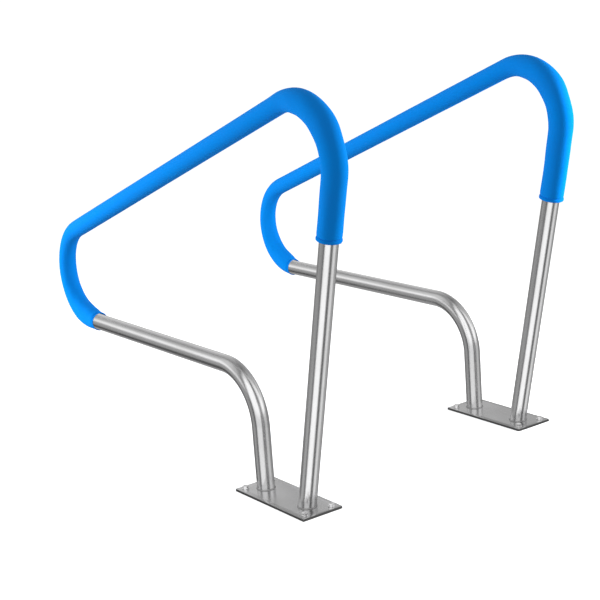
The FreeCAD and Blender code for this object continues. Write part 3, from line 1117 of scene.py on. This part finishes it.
@dataclass
class GripCover:
    """The cloth sleeve with its folded cuffs, stitching and zip."""

    rail: str
    line: Centreline
    girths: list[Girth]
    cloth: float = 0.0013
    cuff_length: float = 0.008
    cuff_thickness: float = 0.0024
    tape_edge: float = 0.009
    tape_depth: float = 0.0007
    tape_thickness: float = 0.0009
    tape_gap: float = 0.00025
    coil_split: float = 0.0010
    coil_width: float = 0.0024
    coil_rise: float = 0.0001
    coil_height: float = 0.0020
    tooth_pitch: float = 0.0016
    tooth_thickness: float = 0.0011
    stop_length: float = 0.004
    sides: int = 72
    slack: float = 0.00028
    cuff_lip: float = 0.0010
    pinch: float = 0.0019
    pinch_width: float = 0.0020

    @property
    def start(self) -> float:
        """Where the cover starts, along the centreline."""
        return self.girths[0].distance * MM

    @property
    def end(self) -> float:
        """Where the cover ends."""
        return self.girths[-1].distance * MM

    @property
    def least(self) -> float:
        """The cloth's outer radius where it lies on the tube."""
        return self.line.tube_radius + self.cloth + 0.12 * MM

    def reach(self, distance: float) -> tuple[float, float]:
        """How far the cloth stands out, outside and inside the loop, at a distance along."""
        marks = self.girths
        spot = min(max(distance / MM, marks[0].distance), marks[-1].distance)
        index = max(i for i, mark in enumerate(marks[:-1]) if mark.distance <= spot)
        share = (spot - marks[index].distance) / (marks[index + 1].distance - marks[index].distance)
        four = [marks[min(max(i, 0), len(marks) - 1)] for i in range(index - 1, index + 3)]
        outside = curve_through(*(mark.outside for mark in four), share)
        inside = curve_through(*(mark.inside for mark in four), share)
        return max(outside * MM, self.least), max(inside * MM, self.least)

    def radius(self, distance: float, angle: float) -> float:
        """The cloth's outer radius. Angle 0 is the zip's side and it turns outwards."""
        outside, inside = self.reach(distance)
        side = (outside + inside) / 2
        side -= 0.25 * abs(outside - inside)
        side = max(side, self.least)
        bulge = outside if math.sin(angle) > 0 else inside
        radius = side + (bulge - side) * math.sin(angle) ** 2
        loose = min(1.0, max(0.0, (radius - self.line.tube_radius - self.cloth) / (3 * MM)))
        creases = (self.start + self.cuff_length, self.end - self.cuff_length)
        pinch_width = self.pinch_width
        pinch = sum(math.exp(-(((distance - crease) / pinch_width) ** 2)) for crease in creases)
        radius -= min(self.pinch, max(0.0, radius - self.least)) * pinch
        slow_wave = math.sin(distance * 61 + 2.1 * math.sin(angle + distance * 9))
        wave = slow_wave * math.sin(3 * angle + distance * 23)
        return radius + self.slack * loose * wave

    def spot(self, distance: float, angle: float, rise: float) -> Vector:
        """A point over the cloth's outer face."""
        place = self.line.at(distance)
        arm = Vector((0, math.cos(angle), 0)) + place.outward * math.sin(angle)
        return place.point + arm * (self.radius(distance, angle) + rise)

    def lay(self, piece: Piece, spread: bool = False) -> None:
        """Rolls a flat piece round the rail, keeping its flat layout as its UV map.

        Args:
            piece: drawn with X along the rail, Y round it from the zip and Z out of the cloth.
            spread: whether Y is a share of the whole way round and not a length.
        """
        mesh = piece.data
        if spread:
            round_it = FULL_TURN * self.radius(self.start, 0.0)
            layer = mesh.uv_layers[0]
            for loop, spot in zip(mesh.loops, layer.data):
                x, y, _ = mesh.vertices[loop.vertex_index].co
                spot.uv = (x, y * round_it)
        else:
            keep_flat_layout(piece)
        side_radius = {}
        for vertex in mesh.vertices:
            x, y, z = vertex.co
            if spread:
                angle = y * FULL_TURN
            else:
                key = round(x, 4)
                if key not in side_radius:
                    side_radius[key] = self.radius(x, 0.0)
                angle = y / side_radius[key]
            vertex.co = self.spot(x, angle, z)

    def sleeve(self) -> Piece:
        """The cloth, cut flat, rolled round the rail from one tape to the other and thickened."""
        start, end = self.start + self.cuff_length, self.end - self.cuff_length
        stations = self.line.stations(start, end, 0.0050, 0.0090)
        fine = [step * MM for step in (0.5, 1.0, 1.6, 2.4, 3.4)]
        stations = [s for s in stations if s in (start, end) or start + 0.005 < s < end - 0.005]
        stations = sorted([*stations, *(start + s for s in fine), *(end - s for s in fine)])
        name = f"{self.rail}_cover_cloth"
        cloth = flat_strip(name, stations, even(0.0, 1.0, self.sides))
        for vertex in cloth.data.vertices:
            radius = self.radius(vertex.co.x, 0.0)
            edge = (self.tape_edge + self.tape_gap) / (FULL_TURN * radius)
            vertex.co.y = edge + (1 - 2 * edge) * vertex.co.y
        self.lay(cloth, spread=True)
        edit(cloth, lambda: bpy.ops.mesh.normals_make_consistent(inside=False))
        self.face_out(cloth)
        apply_modifier(cloth, "SOLIDIFY", thickness=self.cloth, offset=-1.0, use_even_offset=True)
        smooth(cloth, 60)
        return cloth

    def face_out(self, piece: Piece) -> None:
        """Flips a rolled strip if its faces point at the tube."""
        face = piece.data.polygons[len(piece.data.polygons) // 2]
        nearest = min(
            (self.line.at(s).point for s in even(self.start, self.end, 400)),
            key=lambda point: (point - face.center).length,
        )
        if (face.center - nearest).dot(face.normal) < 0:
            edit(piece, lambda: bpy.ops.mesh.flip_normals())

    def cuff(self, name: str, start: float) -> Piece:
        """A folded band: a ring drawn as a torus, its section pressed flat."""
        band = added(
            name,
            bpy.ops.mesh.primitive_torus_add,
            major_radius=1.0,
            minor_radius=0.25,
            major_segments=96,
            minor_segments=20,
        )
        half_length, half_thick = self.cuff_length / 2, self.cuff_thickness / 2
        for vertex in band.data.vertices:
            x, y, z = vertex.co
            around = math.atan2(y, x) % FULL_TURN
            turn = math.atan2(z, math.hypot(x, y) - 1.0)
            out, along = math.cos(turn), math.sin(turn)
            out = math.copysign(abs(out) ** 0.6, out)
            along = math.copysign(abs(along) ** 0.6, along)
            distance = start + half_length * (1 + along)
            rise = half_thick * (out - 1) + self.cuff_lip
            vertex.co = self.spot(distance, around, rise)
        layer = band.data.uv_layers[0]
        for spot in layer.data:
            spot.uv = (spot.uv[1] * self.cuff_length * 2.6, spot.uv[0] * FULL_TURN * 0.026)
        merge(band)
        smooth(band, 60)
        return band

    def stitches(self, name: str, distance: float) -> Piece:
        """A ring of short stitches laid over the cuff's crease."""
        stitch = added(
            name,
            bpy.ops.mesh.primitive_uv_sphere_add,
            segments=6,
            ring_count=5,
            radius=1.0,
        )
        count = 48
        for vertex in stitch.data.vertices:
            x, y, z = vertex.co
            vertex.co = (distance + x * 0.32 * MM, (0.5 + 0.36 * y) / count, z * 0.3 * MM)
        apply_modifier(
            stitch,
            "ARRAY",
            count=count,
            use_relative_offset=False,
            use_constant_offset=True,
            constant_offset_displace=(0, 1 / count, 0),
        )
        self.lay(stitch, spread=True)
        smooth(stitch, 80)
        return stitch

    def tapes(self) -> list[Piece]:
        """The two woven tapes, one each side of the coils."""
        start, end = self.start + self.cuff_length, self.end - self.cuff_length
        stations = self.line.stations(start, end, 0.0050, 0.0120)
        coil_edge = self.coil_split / 2 + self.coil_width
        pieces = []
        for side, word in ((1, "outer"), (-1, "inner")):
            edges = sorted((side * (coil_edge + 0.1 * MM), side * self.tape_edge))
            tape = flat_strip(f"{self.rail}_zip_tape_{word}", stations, even(*edges, 5))
            for vertex in tape.data.vertices:
                vertex.co.z = -self.tape_depth
            self.lay(tape)
            self.face_out(tape)
            apply_modifier(tape, "SOLIDIFY", thickness=self.tape_thickness, offset=-1.0)
            smooth(tape, 60)
            pieces.append(tape)
        return pieces

    def coils(self) -> Piece:
        """Both rows of nylon coils, tooth by tooth, on their cords."""
        start = self.start + self.cuff_length + self.stop_length + 0.0004
        length = self.end - self.start - 2 * (self.cuff_length + self.stop_length) - 0.0008
        count = int(length / self.tooth_pitch) - 1
        middle = self.coil_split / 2 + self.coil_width / 2
        rows = []
        for side in (1, -1):
            tooth = added(f"row_{side}", bpy.ops.mesh.primitive_cube_add, size=1.0)
            tooth.data.transform(
                Matrix.Diagonal((self.tooth_thickness, self.coil_width, self.coil_height, 1.0))
            )
            first = start + self.tooth_pitch * (1.0 if side > 0 else 0.5)
            drop = self.coil_rise - self.coil_height / 2
            tooth.data.transform(Matrix.Translation((first, side * middle, drop)))
            edit(tooth, lambda: bpy.ops.mesh.bevel(offset=0.36 * MM, segments=1))
            apply_modifier(
                tooth,
                "ARRAY",
                count=count,
                use_relative_offset=False,
                use_constant_offset=True,
                constant_offset_displace=(self.tooth_pitch, 0, 0),
            )
            rows.append(tooth)
            cord = flat_strip(
                f"cord_{side}",
                self.line.stations(start, start + length, 0.006, 0.02),
                even(*sorted((side * (middle - 0.5 * MM), side * (middle + 0.5 * MM))), 1),
            )
            for vertex in cord.data.vertices:
                vertex.co.z = -0.7 * MM
            apply_modifier(cord, "SOLIDIFY", thickness=0.6 * MM, offset=-1.0)
            rows.append(cord)
        chain = join(f"{self.rail}_zip_coil_rows", rows)
        self.lay(chain)
        edit(chain, lambda: bpy.ops.mesh.normals_make_consistent(inside=False))
        smooth(chain, 50)
        return chain

    def build(self, finishes: dict[Slot, Material], thread: Material) -> None:
        """Builds the cover's pieces and finishes the slider and its pull."""
        root = Body.ROOT.value
        cloth = self.sleeve()
        dress(cloth, finishes[Slot.COVER], Slot.COVER, root, f"{self.rail}_grip_cover")
        trim = []
        ends = (
            ("tall_leg_cuff", self.start, self.start + self.cuff_length),
            ("far_bend_cuff", self.end - self.cuff_length, self.end - self.cuff_length),
        )
        for name, start, crease in ends:
            band = self.cuff(f"{self.rail}_{name}_fold", start)
            dress(band, finishes[Slot.CUFF], Slot.CUFF, root, f"{self.rail}_{name}")
            seam = self.stitches(f"{self.rail}_{name}_stitches", crease)
            dress(seam, thread, Slot.CUFF, root)
            trim += [band, seam]
        for tape in self.tapes():
            dress(tape, finishes[Slot.TAPE], Slot.TAPE, root, f"{self.rail}_zip_tapes")
            trim.append(tape)
        chain = self.coils()
        dress(chain, finishes[Slot.COIL], Slot.COIL, root, f"{self.rail}_zip_coils")
        trim.append(chain)
        for node in ("zip_stops", "zip_slider", "zip_pull"):
            refinish(f"{self.rail}_{node}", finishes[Slot.ZIP_METAL])
        for piece in (cloth, *trim):
            piece.visible_glossy = False
        width = sum(self.girth(s) for s in even(self.start, self.end, 60)) / 61

    def girth(self, distance: float) -> float:
        """The way round the cloth at a distance along."""
        steps = 24
        total = sum(self.radius(distance, FULL_TURN * i / steps) for i in range(steps))
        return total * FULL_TURN / steps


# ---- The studio ----


@dataclass(frozen=True)
class Band:
    """One upright strip of the studio's surround: its bearing, as a share of a turn, and light."""

    bearing: float
    light: float


@dataclass
class Studio:
    """A pale floor, a soft surround of light and dark strips, two soft boxes and the camera."""

    camera_place: Vector = field(default_factory=lambda: Vector((2.5097, -1.7051, 1.1958)))
    camera_right: Vector = field(default_factory=lambda: Vector((0.5915, 0.8030, -0.0728)))
    camera_ahead: Vector = field(default_factory=lambda: Vector((-0.793, 0.5629, -0.2329)))
    lens: float = 84.04
    floor_size: float = 240.0

    def floor(self) -> None:
        """The deck, as a plain pale sheet."""
        floor = added(
            "studio_floor",
            bpy.ops.mesh.primitive_grid_add,
            x_subdivisions=8,
            y_subdivisions=8,
            size=self.floor_size,
        )
        settings = {
            "Roughness": 0.9,
            "Specular IOR Level": 0.0,
            "Emission Color": (1.0, 1.0, 1.0, 1.0),
            "Emission Strength": 0.62,
        }
        material, graph, shader = new_material("pale_floor", settings)
        place = graph.node("ShaderNodeTexCoord").outputs["Object"]
        patches = graph.span(graph.noise(place, 0.6), 0.0, 1.0)
        graph.link(
            graph.blend(patches, (0.90, 0.90, 0.90, 1.0), (0.92, 0.92, 0.92, 1.0)),
            shader.inputs["Base Color"],
        )
        floor.data.materials.append(material)
        floor.visible_glossy = floor.visible_diffuse = False

    def surround(self) -> None:
        """A surround whose strips of light and shade show in the steel."""
        world = bpy.data.worlds.new("studio_surround")
        bpy.context.scene.world = world
        world.use_nodes = True
        graph = Graph(world.node_tree)
        background = world.node_tree.nodes["Background"]
        direction = graph.node("ShaderNodeTexCoord").outputs["Generated"]
        split = graph.node("ShaderNodeSeparateXYZ")
        graph.link(direction, split.inputs[0])
        toward = -self.camera_ahead.normalized()
        base = math.atan2(toward.y, toward.x)
        angle = graph.maths("ARCTAN2", split.outputs["Y"], split.outputs["X"])
        turn = graph.maths("DIVIDE", graph.maths("SUBTRACT", angle, base), FULL_TURN)
        share = graph.maths("FRACT", graph.maths("ADD", turn, 2.5))
        strips = self.ramp(graph, share, SURROUND)
        level = graph.maths("MULTIPLY_ADD", split.outputs["Z"], 0.5, 0.5)
        heights = self.ramp(graph, level, HEIGHTS)
        mirrored = graph.maths("MINIMUM", graph.maths("MULTIPLY", strips, heights), 1.3)
        by_bearing = self.ramp(graph, share, SHADE)
        shade = graph.maths("MULTIPLY", by_bearing, self.ramp(graph, level, LOW))
        mirrored = graph.maths("MULTIPLY", mirrored, graph.maths("SUBTRACT", 1.0, shade))
        soft = self.ramp(graph, level, AMBIENCE)
        rays = graph.node("ShaderNodeLightPath").outputs
        glossy, seen = rays["Is Glossy Ray"], rays["Is Camera Ray"]
        light = graph.maths("MULTIPLY", soft, graph.maths("SUBTRACT", 1.0, glossy))
        light = graph.maths("MULTIPLY_ADD", mirrored, glossy, light)
        light = graph.maths("MULTIPLY", light, graph.maths("SUBTRACT", 1.0, seen))
        light = graph.maths("ADD", light, seen)
        graph.link(light, background.inputs["Color"])
        background.inputs["Strength"].default_value = 1.0

    @staticmethod
    def ramp(graph: Graph, value: object, bands: Sequence[Band]) -> Socket:
        """A curve through the bands' lights, up to twice full light."""
        node = graph.node("ShaderNodeValToRGB")
        graph.feed(node.inputs["Fac"], value)
        ramp = node.color_ramp
        ramp.interpolation = "EASE"
        while len(ramp.elements) > 1:
            ramp.elements.remove(ramp.elements[-1])
        ramp.elements[0].position = bands[0].bearing
        ramp.elements[0].color = (*(bands[0].light / 2,) * 3, 1.0)
        for band in bands[1:]:
            element = ramp.elements.new(band.bearing)
            element.color = (*(band.light / 2,) * 3, 1.0)
        return graph.maths("MULTIPLY", node.outputs["Color"], 2.0)

    def soft_box(self, name: str, place: Vector, aim: Vector, size: float, power: float) -> None:
        """A square soft light aimed at a point."""
        data = bpy.data.lights.new(name, "AREA")
        data.shape, data.size, data.energy = "SQUARE", size, power
        lamp = bpy.data.objects.new(name, data)
        bpy.context.collection.objects.link(lamp)
        lamp.location = place
        lamp.rotation_euler = (aim - place).to_track_quat("-Z", "Y").to_euler()
        lamp.visible_camera = False
        lamp.visible_glossy = False

    def camera(self) -> None:
        """The camera, placed and turned by its own fields."""
        data = bpy.data.cameras.new("studio_camera")
        data.lens, data.sensor_width = self.lens, 36.0
        data.clip_start, data.clip_end = 0.05, 500.0
        camera = bpy.data.objects.new("studio_camera", data)
        bpy.context.collection.objects.link(camera)
        back = -self.camera_ahead.normalized()
        right = self.camera_right.normalized()
        up = back.cross(right).normalized()
        right = up.cross(back)
        turn = Matrix((right, up, back)).transposed().to_4x4()
        camera.matrix_world = Matrix.Translation(self.camera_place) @ turn
        bpy.context.scene.camera = camera

    def build(self) -> None:
        """Sets the whole studio up."""
        self.floor()
        self.surround()
        middle = Vector((-0.4, 0.37, 0.45))
        up = Vector((0, 0, 1))
        legs = Vector((0.0, 0.35, 0.6))
        self.soft_box("leg_box", Vector((1.0, 1.8, 0.8)), legs, 0.5, 40.0)
        self.soft_box("key_box", Vector((-2.1, -1.8, 0.6)), middle, 1.2, 58.0)
        self.soft_box("top_box", middle + up * 4.0, middle, 4.5, 5.0)
        self.camera()
        view = bpy.context.scene.view_settings
        view.view_transform = "Standard"
        view.look = "None"


SURROUND = [
    Band(0.0, 0.45),
    Band(0.07, 0.42),
    Band(0.11, 0.36),
    Band(0.14, 0.42),
    Band(0.17, 0.62),
    Band(0.23, 0.62),
    Band(0.255, 0.5),
    Band(0.29, 0.5),
    Band(0.315, 0.2),
    Band(0.35, 0.2),
    Band(0.372, 1.35),
    Band(0.53, 1.35),
    Band(0.56, 0.18),
    Band(0.635, 0.18),
    Band(0.665, 0.95),
    Band(0.75, 0.95),
    Band(0.775, 0.45),
    Band(0.86, 0.45),
    Band(0.9, 0.25),
    Band(0.96, 0.3),
    Band(1.0, 0.45),
]
HEIGHTS = [
    Band(0.0, 0.5),
    Band(0.15, 0.95),
    Band(0.28, 1.0),
    Band(0.36, 0.62),
    Band(0.45, 0.65),
    Band(0.54, 0.8),
    Band(0.59, 1.9),
    Band(0.67, 1.9),
    Band(0.74, 1.2),
    Band(0.85, 1.2),
    Band(1.0, 0.6),
]
SHADE = [
    Band(0.0, 0.0),
    Band(0.1, 0.0),
    Band(0.135, 0.85),
    Band(0.19, 0.85),
    Band(0.21, 0.0),
    Band(1.0, 0.0),
]
LOW = [
    Band(0.0, 0.0),
    Band(0.18, 0.3),
    Band(0.23, 1.0),
    Band(0.31, 1.0),
    Band(0.37, 0.0),
    Band(1.0, 0.0),
]
AMBIENCE = [
    Band(0.0, 0.42),
    Band(0.42, 0.49),
    Band(0.58, 0.5),
    Band(1.0, 0.5),
]


def main() -> None:
    """Builds both rails in the studio."""
    logging.basicConfig(level=logging.INFO, format="%(name)s: %(message)s")
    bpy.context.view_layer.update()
    effects = Effects()
    choice = Finishes()
    finishes = {
        Slot.RAIL: choice.rail.material(effects),
        Slot.PLATE: choice.plate.material(effects),
        Slot.WELD: choice.weld.material(effects),
        Slot.FASTENER: choice.fastener.material(effects),
        Slot.COVER: choice.cover.material(effects),
        Slot.CUFF: choice.cuff.material(effects),
        Slot.TAPE: choice.tape.material(effects),
        Slot.COIL: choice.coil.material(effects),
        Slot.ZIP_METAL: choice.zip_metal.material(effects),
    }
    thread = choice.thread.material(effects)
    # Near-black steel for the plate's side faces: painted shade.
    edge_shade_finish = choice.plate_edge_shade.material(effects)
    mounts = {mount["name"]: mount for mount in frame["record"]["mounts"]}
    girths = {"near": near_girths(), "far": far_girths()}
    Studio().build()
    for rail in ("near", "far"):
        mount = mounts[f"{rail}_screws"]
        offset = Vector(mount["pos_m"])
        plate_low, plate_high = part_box(f"{rail}_base_plate")
        line = Centreline(offset, plate_high[2])
        dims = mount["dims"]
        spacing = (dims["spacing_x_mm"] * MM, dims["spacing_y_mm"] * MM)
        plate_size = (plate_high[0] - plate_low[0], plate_high[1] - plate_low[1])
        SteelWork(rail, line, plate_size, spacing).build(finishes, edge_shade_finish)
        fixings = Fixings(rail, offset, 0.0, spacing)
        fixings.seat = plate_high[2] + fixings.washer_thickness
        fixings.build(finishes)
        GripCover(rail, line, girths[rail]).build(finishes, thread)


if __name__ == "__main__":
    main()
